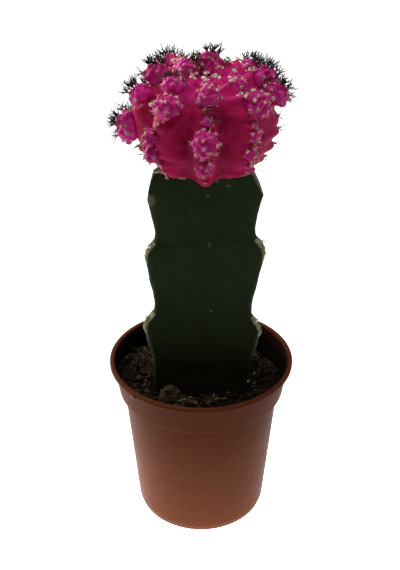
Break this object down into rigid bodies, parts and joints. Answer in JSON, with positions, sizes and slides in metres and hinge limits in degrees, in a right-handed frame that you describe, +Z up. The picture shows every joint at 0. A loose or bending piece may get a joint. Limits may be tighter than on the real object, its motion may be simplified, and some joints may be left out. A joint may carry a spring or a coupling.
{
  "type": "potted moon cactus",
  "caption": "Grafted moon cactus: a ribbed magenta globe with offsets on a three-ribbed green rootstock, planted in a small terracotta-brown plastic pot.",
  "frame": {"origin": "centre of the pot's foot ring, on the surface that the pot stands on", "axes": "+Z up along the pot's axis, -Y towards the front, which one flat face of the rootstock looks towards, +X to the right seen from the front"},
  "size_m": [0.055, 0.055, 0.1504],
  "materials": {
    "terracotta_plastic": "satin moulded plastic",
    "peat": "rough, fibrous peat",
    "green_skin": "waxy plant skin",
    "magenta_flesh": "moist, waxy plant flesh"
  },
  "bodies": {
    "root": {"pot": "terracotta_plastic", "soil": "peat", "rootstock": "green_skin", "scion": "magenta_flesh"}
  },
  "joints": []
}
